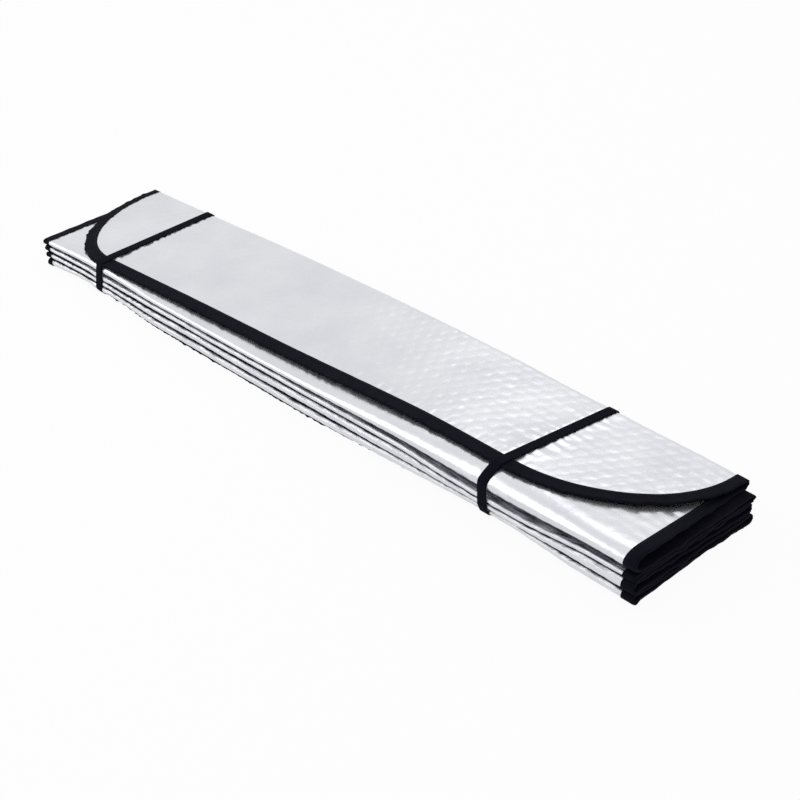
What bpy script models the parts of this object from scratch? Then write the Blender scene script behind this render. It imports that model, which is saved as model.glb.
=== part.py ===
"""Folding windshield sun shade, folded up in its concertina and held by two elastic bands.

A rectangle of metallised bubble sheet with rounded corners is folded back and forth into a flat
pack. One J-shaped tape is sewn over its whole rim, wide on the face and narrow on the back, and
two woven elastic bands are drawn round the pack. Metres, +Z up, X along the folds, +Y to the
side where the top panel is folded. The pack lies on its bands at z = 0.
"""

from math import cos, dist, hypot, pi, sin, sqrt

import bmesh
import bpy
from mathutils import Vector

# The flat sheet: fold lines run along its length, and its two outer panels have elliptical
# corners. The top panel's free edge slants and is hollow: its inset is how far it stays short of
# a full panel, at either end and more half way along. The bottom panel is a little wider.
LENGTH = 0.800
PANEL_WIDTH = 0.148
BACK_FOLDS = 5
SHEET = 0.0012
TOP_INSET_LEFT = -0.004
TOP_INSET_RIGHT = 0.012
TOP_INSET_BOW = 0.007
BOTTOM_OUTSET = 0.004
LEFT_CORNER = 0.104
RIGHT_CORNER = 0.150

# The edge tape: its thickness, how far it reaches over the face and over the back of the sheet,
# and the air between it and the sheet. Its wide leg narrows round the corners by these shares.
TAPE = 0.0004
TAPE_ON_FACE = 0.0130
TAPE_ON_BACK_LEFT = 0.0090
TAPE_ON_BACK_RIGHT = 0.0100
LEFT_NARROWING = 0.55
RIGHT_NARROWING = 0.15
SEAM_GAP = 0.0003

# The pack: the air that each fold stays open by, at its left and right end, and what the folds
# swell by half way along. The folds of a side are given from the top one down. The top front fold
# is a soft roll that opens between two shares of the length, and is deeper than it is high. Each
# fold lies a little in or out of line with the next, and the middle ones bow out at the front.
LAYER_AIR = 0.0003
FLOOR_AIR = 0.0003
BACK_AIRS_LEFT = (0.0020, 0.0020, 0.0020, 0.0020, 0.0020)
BACK_AIRS_RIGHT = (0.0044, 0.0026, 0.0056, 0.0040, 0.0006)
BACK_SWELL = 0.0020
FRONT_AIRS_LEFT = (0.0012, 0.0006, 0.0006, 0.0030)
FRONT_AIRS_RIGHT = (0.0120, 0.0004, 0.0065, 0.0040)
FRONT_SWELL = 0.0004
ROLL_START = 0.42
ROLL_FULL = 0.80
ROLL_STRETCH = 2.2
ROLL_SLACK = 1.2
FOLD_STAGGER = 0.0015
STAGGER_TURN = 2.4
FRONT_BOW = 0.004

# How far the ends of each fold, from the top one down, have slipped along X, and over what length.
LEFT_SLIPS = (0.0, 0.008, 0.0, 0.010, 0.002, 0.013, 0.004, 0.016, 0.006)
RIGHT_SLIPS = (-0.008, 0.0, 0.0, 0.0, -0.001, 0.0, 0.0, 0.0, -0.005)
SLIP_REACH = 0.085

# The elastic bands: where each crosses the middle of the pack, measured from the nearer end, and
# how far it leans along the pack for each metre across it.
BAND_WIDTH = 0.010
BAND_THICKNESS = 0.0010
BAND_GAP = 0.0004
LEFT_BAND = 0.100
LEFT_LEAN = -0.03
RIGHT_BAND = 0.152
RIGHT_LEAN = 0.08
BAND_SQUEEZE = 0.12
BAND_PULL = 0.0035
BAND_REACH = 0.100

# How finely the folds, corners and panels are divided, and the smallest step between two points
# of a band's path.
ARC_STEPS = 6
CORNER_STEPS = 8
PANEL_STEPS = 4
COLUMN_SPACING = 0.068
BAND_COLUMNS = (0.0, 0.35, 0.7, 1.0)
SMALL_STEP = 0.0003

PANELS = 2 * BACK_FOLDS
HALF_LENGTH = LENGTH / 2
HALF_WIDTH = PANEL_WIDTH / 2
HALF_SHEET = SHEET / 2
HALF_BOUND = HALF_SHEET + SEAM_GAP + TAPE
BOUND = 2 * HALF_BOUND
BANDS = {
    "elastic_band_left": (LEFT_BAND - HALF_LENGTH, LEFT_LEAN),
    "elastic_band_right": (HALF_LENGTH - RIGHT_BAND, RIGHT_LEAN),
}


def smooth(value, low, high):
    """0 at low, 1 at high, with a smooth rise between."""
    t = min(max((value - low) / (high - low), 0.0), 1.0)
    return t * t * (3 - 2 * t)


def band_half_span(lean):
    """Half of the length of pack that a leaning band covers."""
    return BAND_WIDTH / 2 + abs(lean) * HALF_WIDTH


def squeeze(x):
    """1 under a band, falling smoothly to 0 at its reach."""
    total = 0.0
    for place, lean in BANDS.values():
        away = max(0.0, abs(x - place) - band_half_span(lean)) / BAND_REACH
        if away < 1:
            total += (1 - away**2) ** 2
    return min(total, 1.0)


def fold_air(x, left, right, swell):
    """Air inside a fold at x: linear from end to end, swollen between the bands."""
    along = min(max(x / LENGTH + 0.5, 0.0), 1.0)
    open_by = left + (right - left) * along + swell * sin(pi * along)
    return open_by * (1 - BAND_SQUEEZE * squeeze(x))


def front_opening(x, turn):
    """The height of a front fold at x, counted from the top one."""
    if turn:
        return BOUND + fold_air(x, FRONT_AIRS_LEFT[turn], FRONT_AIRS_RIGHT[turn], FRONT_SWELL)
    opened = smooth(x / LENGTH + 0.5, ROLL_START, ROLL_FULL)
    air = FRONT_AIRS_LEFT[0] + (FRONT_AIRS_RIGHT[0] - FRONT_AIRS_LEFT[0]) * opened
    return BOUND + air * (1 - BAND_SQUEEZE * squeeze(x))


def layer_heights(x):
    """Height of each panel's middle at the back folds and at the front folds, top panel first."""
    lift = BAND_THICKNESS + BAND_GAP - FLOOR_AIR
    lowest = FLOOR_AIR + HALF_BOUND + lift * squeeze(x)
    closed = BOUND + LAYER_AIR
    back = [lowest]
    front = [lowest]
    for below in range(PANELS - 1, 0, -1):
        if below % 2:
            turn = below // 2
            air = fold_air(x, BACK_AIRS_LEFT[turn], BACK_AIRS_RIGHT[turn], BACK_SWELL)
            back.append(back[-1] + BOUND + air)
            front.append(front[-1] + closed)
        else:
            back.append(back[-1] + closed)
            front.append(front[-1] + front_opening(x, below // 2 - 1))
    return back[::-1], front[::-1]


def fold_nose(fold, x):
    """The y of a fold's outermost line. Even folds are at the back."""
    stagger = FOLD_STAGGER * sin(STAGGER_TURN * fold + 1)
    if fold % 2 == 0:
        return HALF_WIDTH + stagger
    bow = FRONT_BOW * sin(pi * fold / (PANELS - 1))
    return stagger + BAND_PULL * squeeze(x) - bow - HALF_WIDTH


def fold_slip(fold, x):
    """How far along X a fold's line has slipped at x: nothing but near the ends of the pack."""
    into = max(0.0, 1 - (HALF_LENGTH - abs(x)) / SLIP_REACH)
    return (RIGHT_SLIPS if x > 0 else LEFT_SLIPS)[fold] * into**2


def fold_size(fold, x):
    """Half the height of a fold's curve at x, and how deep the curve is."""
    back, front = layer_heights(x)
    heights = front if fold % 2 else back
    radius = (heights[fold] - heights[fold + 1]) / 2
    if fold != 1:
        return radius, radius
    tightest = radius**2 / (ROLL_SLACK * HALF_BOUND)
    return radius, max(radius, min(radius * ROLL_STRETCH, tightest))


def fold_point(fold, angle, x, off=0.0):
    """A point on a fold at an angle above its middle, off the sheet's middle towards its face."""
    back, front = layer_heights(x)
    heights = front if fold % 2 else back
    side = -1 if fold % 2 else 1
    radius, depth = fold_size(fold, x)
    level = hypot(radius * cos(angle), depth * sin(angle))
    out = side * (depth * cos(angle) + side * off * radius * cos(angle) / level - depth)
    up = radius * sin(angle) + side * off * depth * sin(angle) / level
    middle = (heights[fold] + heights[fold + 1]) / 2
    return x + fold_slip(fold, x), fold_nose(fold, x) + out, middle + up


def panel_point(panel, across, x, off=0.0):
    """A point on a panel, across it from 0 at the back to 1 at the front, off its middle."""
    back, front = layer_heights(x)
    back_fold = panel - panel % 2
    back_y = fold_nose(back_fold, x) - fold_size(back_fold, x)[1]
    slip = fold_slip(back_fold, x) * max(0.0, 1 - across)
    front_fold = back_fold + (1 if panel % 2 else -1)
    if 0 < front_fold < PANELS - 1:
        front_y = fold_nose(front_fold, x) + fold_size(front_fold, x)[1]
        slip += fold_slip(front_fold, x) * across
    else:
        front_y = back_y - PANEL_WIDTH + (back[back_fold] - back[back_fold + 1])
    slope = (front[panel] - back[panel]) / (front_y - back_y)
    lean = off * (-1 if panel % 2 else 1) / sqrt(1 + slope**2)
    y = back_y + (front_y - back_y) * across - lean * slope
    return x + slip, y, back[panel] + (front[panel] - back[panel]) * across + lean


def full_reach(panel, x):
    """Distance on the sheet from an outer panel's fold to its free edge, corners left aside."""
    if panel:
        return PANEL_WIDTH + BOTTOM_OUTSET
    along = x / LENGTH + 0.5
    inset = TOP_INSET_LEFT + (TOP_INSET_RIGHT - TOP_INSET_LEFT) * along
    return PANEL_WIDTH - inset - TOP_INSET_BOW * sin(pi * along)


def corner(x):
    """The corner ellipse's length at the end that x is nearer to, and where it starts."""
    size = LEFT_CORNER if x < 0 else RIGHT_CORNER
    return size, HALF_LENGTH - size


def free_reach(panel, x):
    """Distance on the sheet from an outer panel's fold to its rim at x."""
    size, start = corner(x)
    into = min(max((abs(x) - start) / size, 0.0), 1.0)
    return full_reach(panel, x) * sqrt(1 - into**2)


def rim_normal(panel, reach, x):
    """Outward direction of an outer panel's rim on the flat sheet: across it, and along X."""
    size, start = corner(x)
    full = full_reach(panel, x)
    into = max(abs(x) - start, 0.0) / size
    slant = TOP_INSET_RIGHT - TOP_INSET_LEFT + TOP_INSET_BOW * pi * cos(pi * (x / LENGTH + 0.5))
    taper = 0.0 if panel else slant / LENGTH
    across = reach / full**2
    along = into / size * (1 if x > 0 else -1) + reach**2 * taper / full**3
    steepness = sqrt(across**2 + along**2)
    return across / steepness, along / steepness


def tape_legs(x):
    """How far the tape reaches in from the rim at x, on the sheet's face and on its back."""
    size, start = corner(x)
    into = min(max((abs(x) - start) / size, 0.0), 1.0)
    narrowing = LEFT_NARROWING if x < 0 else RIGHT_NARROWING
    along = x / LENGTH + 0.5
    on_back = TAPE_ON_BACK_LEFT + (TAPE_ON_BACK_RIGHT - TAPE_ON_BACK_LEFT) * along
    return TAPE_ON_FACE * (1 - narrowing * into**2), on_back


def make_material(name, colour, roughness, metallic):
    material = bpy.data.materials.new(name)
    material.use_nodes = True
    shader = material.node_tree.nodes["Principled BSDF"]
    shader.inputs["Base Color"].default_value = (*colour, 1)
    shader.inputs["Roughness"].default_value = roughness
    shader.inputs["Metallic"].default_value = metallic
    return material


def make_object(name, rings, closed, material):
    """An object whose faces join each ring of points to the next, smooth except at sharp turns."""
    mesh = bpy.data.meshes.new(name)
    shape = bmesh.new()
    loops = [[shape.verts.new(point) for point in ring] for ring in rings]
    pairs = list(zip(loops, loops[1:]))
    if closed:
        pairs.append((loops[-1], loops[0]))
    for first, second in pairs:
        count = len(first)
        for i in range(count if closed else count - 1):
            j = (i + 1) % count
            shape.faces.new((first[i], first[j], second[j], second[i]))
    bmesh.ops.remove_doubles(shape, verts=shape.verts, dist=1e-6)
    bmesh.ops.recalc_face_normals(shape, faces=shape.faces)
    shape.to_mesh(mesh)
    shape.free()
    mesh.shade_smooth()
    mesh.set_sharp_from_angle(angle=pi / 5)
    mesh.materials.append(material)
    part = bpy.data.objects.new(name, mesh)
    bpy.context.scene.collection.objects.link(part)
    return part


def column_places():
    """Where the sheet is divided along X: at its ends, corners and bands, and between them."""
    marks = {LEFT_CORNER - HALF_LENGTH, HALF_LENGTH - RIGHT_CORNER}
    for place, lean in BANDS.values():
        for part in BAND_COLUMNS:
            away = band_half_span(lean) + part * BAND_REACH
            marks.update((place - away, place + away))
    kept = [-HALF_LENGTH]
    for mark in sorted(marks):
        if mark - kept[-1] > SMALL_STEP and HALF_LENGTH - mark > SMALL_STEP:
            kept.append(mark)
    kept.append(HALF_LENGTH)
    columns = []
    for left, right in zip(kept, kept[1:]):
        parts = int((right - left) / COLUMN_SPACING) + 1
        columns += [left + (right - left) * i / parts for i in range(parts)]
    return columns + [HALF_LENGTH]


def fold_angles():
    return [pi / 2 - pi * i / ARC_STEPS for i in range(ARC_STEPS + 1)]


def corner_angles():
    """Steps round a corner ellipse, from the free edge towards the fold."""
    return [pi / 2 * i / CORNER_STEPS for i in range(CORNER_STEPS)]


def drawn_in(column, turn):
    """Where a column meets an outer panel's row, drawn in where the corner is cut away."""
    start = corner(column)[1]
    if abs(column) <= start:
        return column
    x = start + (abs(column) - start) * sin(turn)
    return x if column > 0 else -x


def outer_panel_row(panel, turn, columns):
    """A row of an outer panel: its ends are on the rim where the corners have turned by turn."""
    row = []
    for column in columns:
        x = drawn_in(column, turn)
        reach = full_reach(panel, x) * cos(turn)
        row.append(panel_point(panel, reach / PANEL_WIDTH, x))
    return row


def make_foil_sheet(material):
    """The whole sheet as one surface, row after row from rim to rim, then given its thickness."""
    columns = column_places()
    last = PANELS - 1
    rows = [outer_panel_row(0, turn, columns) for turn in corner_angles()]
    for fold in range(last):
        rows += [[fold_point(fold, angle, x) for x in columns] for angle in fold_angles()]
        panel = fold + 1
        if panel < last:
            steps = [i / PANEL_STEPS for i in range(1, PANEL_STEPS)]
            if panel % 2 == 0:
                steps.reverse()
            rows += [[panel_point(panel, step, x) for x in columns] for step in steps]
    rows += [outer_panel_row(last, turn, columns) for turn in reversed(corner_angles())]
    sheet = make_object("foil_sheet", rows, False, material)
    wall = sheet.modifiers.new("bubble sheet thickness", "SOLIDIFY")
    wall.thickness = SHEET
    wall.offset = 0.0
    wall.use_even_offset = True
    return sheet


def tape_ring(point, x):
    """The tape's J section at x, where point(inward, off) is a place inward from the rim."""
    near = HALF_SHEET + SEAM_GAP
    on_face, on_back = tape_legs(x)
    outline = (
        (on_face, HALF_BOUND),
        (-SEAM_GAP - TAPE, HALF_BOUND),
        (-SEAM_GAP - TAPE, -HALF_BOUND),
        (on_back, -HALF_BOUND),
        (on_back, -near),
        (-SEAM_GAP, -near),
        (-SEAM_GAP, near),
        (on_face, near),
    )
    return [point(inward, off) for inward, off in outline]


def outer_panel_ring(panel, reach, x):
    across, along = rim_normal(panel, reach, x)

    def point(inward, off):
        place = (reach - inward * across) / PANEL_WIDTH
        return panel_point(panel, place, x - inward * along, off)

    return tape_ring(point, x)


def end_rings(side):
    """Rings up or down one end of the pack, between the two outer panels' corners."""
    end = side * HALF_LENGTH
    rings = []
    for fold in range(PANELS - 1):
        for angle in fold_angles():

            def on_fold(inward, off):
                return fold_point(fold, angle, end - side * inward, off)

            rings.append(tape_ring(on_fold, end))
        panel = fold + 1
        if panel < PANELS - 1:
            steps = [i / PANEL_STEPS for i in range(1, PANEL_STEPS)]
            if panel % 2 == 0:
                steps.reverse()
            for step in steps:

                def on_panel(inward, off):
                    return panel_point(panel, step, end - side * inward, off)

                rings.append(tape_ring(on_panel, end))
    return rings


def outer_rim_rings(panel):
    """Rings round an outer panel's rim from its left corner, along the free edge, to its right."""
    places = []
    for turn in reversed(corner_angles()[1:]):
        places.append(-HALF_LENGTH + LEFT_CORNER * (1 - sin(turn)))
    left, right = LEFT_CORNER - HALF_LENGTH, HALF_LENGTH - RIGHT_CORNER
    places += [x for x in column_places() if left <= x <= right]
    for turn in corner_angles()[1:]:
        places.append(HALF_LENGTH - RIGHT_CORNER * (1 - sin(turn)))
    return [outer_panel_ring(panel, free_reach(panel, x), x) for x in places]


def make_edge_binding(material):
    """One tape round the whole rim, so it follows every fold at both ends of the pack."""
    rings = outer_rim_rings(0)
    rings += end_rings(1)
    rings += reversed(outer_rim_rings(PANELS - 1))
    rings += reversed(end_rings(-1))
    return make_object("edge_binding", rings, True, material)


def convex_outline(points):
    """The outermost of these (y, z) points, anticlockwise, with no two almost together."""
    points = sorted(set((round(y, 6), round(z, 6)) for y, z in points))
    chains = []
    for ordered in (points, points[::-1]):
        chain = []
        for y, z in ordered:
            while len(chain) > 1:
                (ay, az), (by, bz) = chain[-2:]
                if (by - ay) * (z - az) - (bz - az) * (y - ay) > 1e-9:
                    break
                chain.pop()
            chain.append((y, z))
        chains += chain[:-1]
    kept = []
    for point in chains:
        if not kept or dist(point, kept[-1]) > SMALL_STEP:
            kept.append(point)
    return kept


def grown(outline, distance):
    """A convex outline moved outwards by a distance, corner for corner."""
    moved = []
    for i, (y, z) in enumerate(outline):
        (py, pz), (ny, nz) = outline[i - 1], outline[(i + 1) % len(outline)]
        before = dist((y, z), (py, pz))
        after = dist((y, z), (ny, nz))
        first = ((z - pz) / before, (py - y) / before)
        second = ((nz - z) / after, (y - ny) / after)
        scale = distance / (1 + first[0] * second[0] + first[1] * second[1])
        moved.append((y + (first[0] + second[0]) * scale, z + (first[1] + second[1]) * scale))
    return moved


def pack_section(place, lean):
    """Every (y, z) that a band has to go round: sheet, edge tape and the flat it lies on."""
    points = []
    for shift in (-1, 0, 1):
        x = place + shift * band_half_span(lean)
        for fold in range(PANELS - 1):
            for angle in fold_angles():
                points += [fold_point(fold, angle, x, off)[1:] for off in (-HALF_SHEET, HALF_SHEET)]
        for panel in (0, PANELS - 1):
            rim = free_reach(panel, x)
            for reach in (rim + SEAM_GAP + TAPE, rim - tape_legs(x)[0]):
                for off in (-HALF_BOUND, HALF_BOUND):
                    points.append(panel_point(panel, reach / PANEL_WIDTH, x, off)[1:])
        back, _ = layer_heights(x)
        points.append((HALF_WIDTH - BOUND, back[-1] - HALF_BOUND))
        points.append((BOUND - HALF_WIDTH, back[-1] - HALF_BOUND))
    return convex_outline(points)


def make_band(name, place, lean, material):
    """A flat elastic ring drawn tight round the pack."""
    inner = grown(pack_section(place, lean), BAND_GAP)
    outer = grown(inner, BAND_THICKNESS)
    rings = []
    for near, far in zip(inner, outer):
        ring = []
        for (y, z), side in ((near, -1), (far, -1), (far, 1), (near, 1)):
            ring.append((place + lean * near[0] + side * BAND_WIDTH / 2, y, z))
        rings.append(ring)
    return make_object(name, rings, True, material)


def centre_on_floor(parts):
    """Puts the middle of the pack over the origin and its lowest face at z = 0."""
    graph = bpy.context.evaluated_depsgraph_get()
    corners = [Vector(spot) for part in parts for spot in part.evaluated_get(graph).bound_box]
    low = [min(spot[axis] for spot in corners) for axis in range(3)]
    high = [max(spot[axis] for spot in corners) for axis in range(3)]
    for part in parts:
        part.location = (-(low[0] + high[0]) / 2, -(low[1] + high[1]) / 2, -low[2])


def main():
    for old in list(bpy.data.objects):
        bpy.data.objects.remove(old, do_unlink=True)
    foil = make_material("metallised bubble sheet", (0.78, 0.79, 0.81), 0.32, 0.7)
    tape = make_material("black woven tape", (0.012, 0.012, 0.015), 0.85, 0.0)
    elastic = make_material("black woven elastic", (0.015, 0.015, 0.018), 0.75, 0.0)
    parts = [make_foil_sheet(foil), make_edge_binding(tape)]
    for name, (place, lean) in BANDS.items():
        parts.append(make_band(name, place, lean, elastic))
    centre_on_floor(parts)


main()
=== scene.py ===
"""Looks of the folded windshield sun shade: bubble film, edge tape, seam thread and elastic bands.

Every piece follows the folding rules of the solids in the frame, on a finer mesh. Metres, +Z up,
X along the folds, +Y to the side where the top panel is folded.
"""

from functools import lru_cache, partial
from math import acos, atan2, cos, dist, exp, floor, hypot, pi, radians, sin, sqrt

import bmesh
import bpy
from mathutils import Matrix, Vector, noise


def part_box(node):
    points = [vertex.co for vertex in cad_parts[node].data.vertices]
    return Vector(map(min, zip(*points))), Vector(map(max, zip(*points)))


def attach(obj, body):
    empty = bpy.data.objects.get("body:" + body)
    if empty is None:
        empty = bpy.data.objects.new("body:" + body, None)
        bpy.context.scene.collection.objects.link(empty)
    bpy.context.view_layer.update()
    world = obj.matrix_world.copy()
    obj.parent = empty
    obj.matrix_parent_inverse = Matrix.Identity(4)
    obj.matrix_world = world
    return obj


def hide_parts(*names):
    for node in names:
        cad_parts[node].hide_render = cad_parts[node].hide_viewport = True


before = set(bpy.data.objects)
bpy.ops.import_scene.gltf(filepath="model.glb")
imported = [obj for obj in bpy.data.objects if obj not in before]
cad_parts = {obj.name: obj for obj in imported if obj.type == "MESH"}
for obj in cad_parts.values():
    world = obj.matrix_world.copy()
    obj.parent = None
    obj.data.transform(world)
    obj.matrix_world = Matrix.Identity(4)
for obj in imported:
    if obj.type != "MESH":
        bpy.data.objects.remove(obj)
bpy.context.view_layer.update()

# The flat sheet.
LENGTH = 0.800
PANEL_WIDTH = 0.148
PANELS = 10
SHEET = 0.0012
TOP_INSET_LEFT = -0.004
TOP_INSET_RIGHT = 0.012
TOP_INSET_BOW = 0.007
BOTTOM_OUTSET = 0.004
LEFT_CORNER = 0.104
RIGHT_CORNER = 0.150

# The edge tape.
TAPE = 0.0004
TAPE_ON_FACE = 0.0130
TAPE_ON_BACK_LEFT = 0.0090
TAPE_ON_BACK_RIGHT = 0.0100
LEFT_NARROWING = 0.55
RIGHT_NARROWING = 0.15
SEAM_GAP = 0.0003

# The air inside the pack's folds, from the top one down at the back and at the front, how the top
# front one widens and when it opens, where the folds lie, and how far their lines slip along X near
# the two ends of the pack.
LAYER_AIR = 0.0003
FLOOR_AIR = 0.0003
BACK_AIRS_LEFT = (0.0020, 0.0020, 0.0020, 0.0020, 0.0020)
BACK_AIRS_RIGHT = (0.0044, 0.0026, 0.0056, 0.0040, 0.0006)
BACK_SWELL = 0.0020
FRONT_AIRS_LEFT = (0.0012, 0.0006, 0.0006, 0.0030)
FRONT_AIRS_RIGHT = (0.0120, 0.0004, 0.0065, 0.0040)
FRONT_SWELL = 0.0004
ROLL_STRETCH = 2.2
ROLL_SLACK = 1.2
ROLL_START = 0.42
ROLL_FULL = 0.80
FOLD_STAGGER = 0.0015
STAGGER_TURN = 2.4
FRONT_BOW = 0.004
LEFT_SLIPS = (0.0, 0.008, 0.0, 0.010, 0.002, 0.013, 0.004, 0.016, 0.006)
RIGHT_SLIPS = (-0.008, 0.0, 0.0, 0.0, -0.001, 0.0, 0.0, 0.0, -0.005)
SLIP_REACH = 0.085

# The elastic bands, how far in from the ends they lie, and how far along the pack they squeeze it.
BAND_WIDTH = 0.010
BAND_THICKNESS = 0.0010
BAND_GAP = 0.0004
LEFT_BAND = 0.100
LEFT_LEAN = -0.03
RIGHT_BAND = 0.152
RIGHT_LEAN = 0.08
BAND_REACH = 0.100
BAND_SQUEEZE = 0.12

# What the bands do to the front folds: how far each draws them in, how much further the right one
# tucks in the lower ones, where that starts and how much of it is lost at the end of the pack, and
# how much of the lower folds' air both bands press out.
LEFT_PULL = 0.0050
RIGHT_PULL = 0.0030
RIGHT_TUCK = 0.0100
TUCK_START = -0.020
TUCK_LOSS = 0.5
LOW_PRESS = 0.80

# The slow waver of the lower front folds' lines.
FOLD_WAVER = 0.0009
WAVER_LENGTH = 0.060

# The bubbles of the film: rows of them along X, each row half a pitch out of step with the next.
# A bubble is flat over a share of its radius, and each one strays a little and isn't quite full.
BUBBLE_PITCH = LENGTH / 60
BUBBLE_ROW = BUBBLE_PITCH * sqrt(3) / 2
BUBBLE_RADIUS = 0.0060
BUBBLE_HEIGHT = 0.00030
BUBBLE_FLAT = 0.62
BUBBLE_DRIFT = 0.0016
BUBBLE_SLACK = 0.7

# How finely the film is divided: columns along its length, of which a row uses one in so many, rows
# across a showing or a hidden panel and close to a rim, and steps round a fold. The second panel's
# rows are finer past a share of the way to the front.
COLUMNS = 480
FINE = 1
MEDIUM = 2
SPARSE = 8
SHOWN_ROWS = 51
HIDDEN_ROWS = 4
RIM_ROWS = (1.0, 0.9993, 0.997, 0.991)
FOLD_STEPS = 12
FRONT_SHARE = 0.8

# The painted shade between the front folds, in the film's colour where the gaps there are in shade:
# the folds it lies on, the angles on them where it starts and is full, and its share on the side that
# faces the open roll.
CREASED_FOLDS = (3, 5, 7)
CREASE_START = radians(25)
CREASE_FULL = radians(85)
OPEN_CREASE = 0.45

# A turn between two faces that stays sharp, and a distance that counts as none.
SHARP_TURN = pi / 5
BAND_SHARP_TURN = pi / 3
TINY = 1e-6

# Sizes that follow from these.
HALF_LENGTH = LENGTH / 2
HALF_WIDTH = PANEL_WIDTH / 2
HALF_SHEET = SHEET / 2
HALF_BOUND = HALF_SHEET + SEAM_GAP + TAPE
BOUND = 2 * HALF_BOUND
BANDS = {
    "elastic_band_left": (LEFT_BAND - HALF_LENGTH, LEFT_LEAN),
    "elastic_band_right": (HALF_LENGTH - RIGHT_BAND, RIGHT_LEAN),
}


def smooth(value, low, high):
    """0 at low, 1 at high, with a smooth rise between."""
    t = min(max((value - low) / (high - low), 0.0), 1.0)
    return t * t * (3 - 2 * t)


def band_half_span(lean):
    """Half of the length of pack that a leaning band covers."""
    return BAND_WIDTH / 2 + abs(lean) * HALF_WIDTH


@lru_cache(maxsize=None)
def squeeze(x):
    """1 under a band, falling smoothly to 0 at its reach."""
    total = 0.0
    for place, lean in BANDS.values():
        away = max(0.0, abs(x - place) - band_half_span(lean)) / BAND_REACH
        if away < 1:
            total += (1 - away**2) ** 2
    return min(total, 1.0)


def fold_air(x, left, right, swell):
    """Air inside a fold at x: linear from end to end, swollen between the bands."""
    along = min(max(x / LENGTH + 0.5, 0.0), 1.0)
    open_by = left + (right - left) * along + swell * sin(pi * along)
    return open_by * (1 - BAND_SQUEEZE * squeeze(x))


def front_opening(x, turn):
    """The height of a front fold at x, counted from the top.

    The top one is a roll that opens late, and takes up what the bands press out of the others.
    """
    pressed = LOW_PRESS * squeeze(x)
    lower_airs = [
        fold_air(x, left, right, FRONT_SWELL)
        for left, right in zip(FRONT_AIRS_LEFT[1:], FRONT_AIRS_RIGHT[1:])
    ]
    if turn:
        return BOUND + lower_airs[turn - 1] * (1 - pressed)
    opened = smooth(x / LENGTH + 0.5, ROLL_START, ROLL_FULL)
    air = FRONT_AIRS_LEFT[0] + (FRONT_AIRS_RIGHT[0] - FRONT_AIRS_LEFT[0]) * opened
    return BOUND + air * (1 - BAND_SQUEEZE * squeeze(x)) + pressed * sum(lower_airs)


@lru_cache(maxsize=None)
def layer_heights(x):
    """Height of each panel's middle at the back folds and at the front folds, top panel first."""
    lift = BAND_THICKNESS + BAND_GAP - FLOOR_AIR
    lowest = FLOOR_AIR + HALF_BOUND + lift * squeeze(x)
    closed = BOUND + LAYER_AIR
    back = [lowest]
    front = [lowest]
    for below in range(PANELS - 1, 0, -1):
        if below % 2:
            turn = below // 2
            air = fold_air(x, BACK_AIRS_LEFT[turn], BACK_AIRS_RIGHT[turn], BACK_SWELL)
            back.append(back[-1] + BOUND + air)
            front.append(front[-1] + closed)
        else:
            back.append(back[-1] + closed)
            front.append(front[-1] + front_opening(x, below // 2 - 1))
    return back[::-1], front[::-1]


def band_pull(fold, x):
    """How far the bands draw a front fold in. The right one draws the lower folds in further."""
    band = BANDS["elastic_band_right"][0]
    past = TUCK_LOSS * max(0.0, x - band) / (HALF_LENGTH - band)
    tuck = RIGHT_TUCK * (fold / (PANELS - 1)) ** 2 * (smooth(x, TUCK_START, band) - past)
    return tuck + (RIGHT_PULL if x > 0 else LEFT_PULL) * squeeze(x)


def fold_nose(fold, x):
    """The y of a fold's outermost line. Even folds are at the back."""
    stagger = FOLD_STAGGER * sin(STAGGER_TURN * fold + 1)
    if fold % 2 == 0:
        return HALF_WIDTH + stagger
    bow = FRONT_BOW * sin(pi * fold / (PANELS - 1))
    waver = FOLD_WAVER * waves(x, fold, WAVER_LENGTH, WAVER_SEED) if fold > 1 else 0.0
    return stagger + band_pull(fold, x) + waver - bow - HALF_WIDTH


def fold_slip(fold, x):
    """How far along X a fold's line has slipped at x: nothing but near the ends of the pack."""
    into = max(0.0, 1 - (HALF_LENGTH - abs(x)) / SLIP_REACH)
    return (RIGHT_SLIPS if x > 0 else LEFT_SLIPS)[fold] * into**2


def fold_size(fold, x):
    """Half the height of a fold's curve at x, and how deep the curve is."""
    back, front = layer_heights(x)
    heights = front if fold % 2 else back
    radius = (heights[fold] - heights[fold + 1]) / 2
    if fold != 1:
        return radius, radius
    return radius, max(radius, min(radius * ROLL_STRETCH, radius**2 / (ROLL_SLACK * HALF_BOUND)))


def shift_to_frame():
    """How far the folding rules' own axes lie from the frame's, along Y."""
    backmost = max(fold_nose(fold, 0.0) for fold in range(0, PANELS, 2)) + HALF_SHEET
    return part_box("foil_sheet")[1].y - backmost


SHIFT = shift_to_frame()


def fold_point(fold, angle, x, off=0.0):
    """A point on a fold at an angle above its middle, off the sheet's middle towards its face."""
    back, front = layer_heights(x)
    heights = front if fold % 2 else back
    side = -1 if fold % 2 else 1
    radius, depth = fold_size(fold, x)
    level = hypot(radius * cos(angle), depth * sin(angle))
    out = side * (depth * cos(angle) + side * off * radius * cos(angle) / level - depth)
    up = radius * sin(angle) + side * off * depth * sin(angle) / level
    middle = (heights[fold] + heights[fold + 1]) / 2
    return Vector((x + fold_slip(fold, x), SHIFT + fold_nose(fold, x) + out, middle + up))


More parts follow.
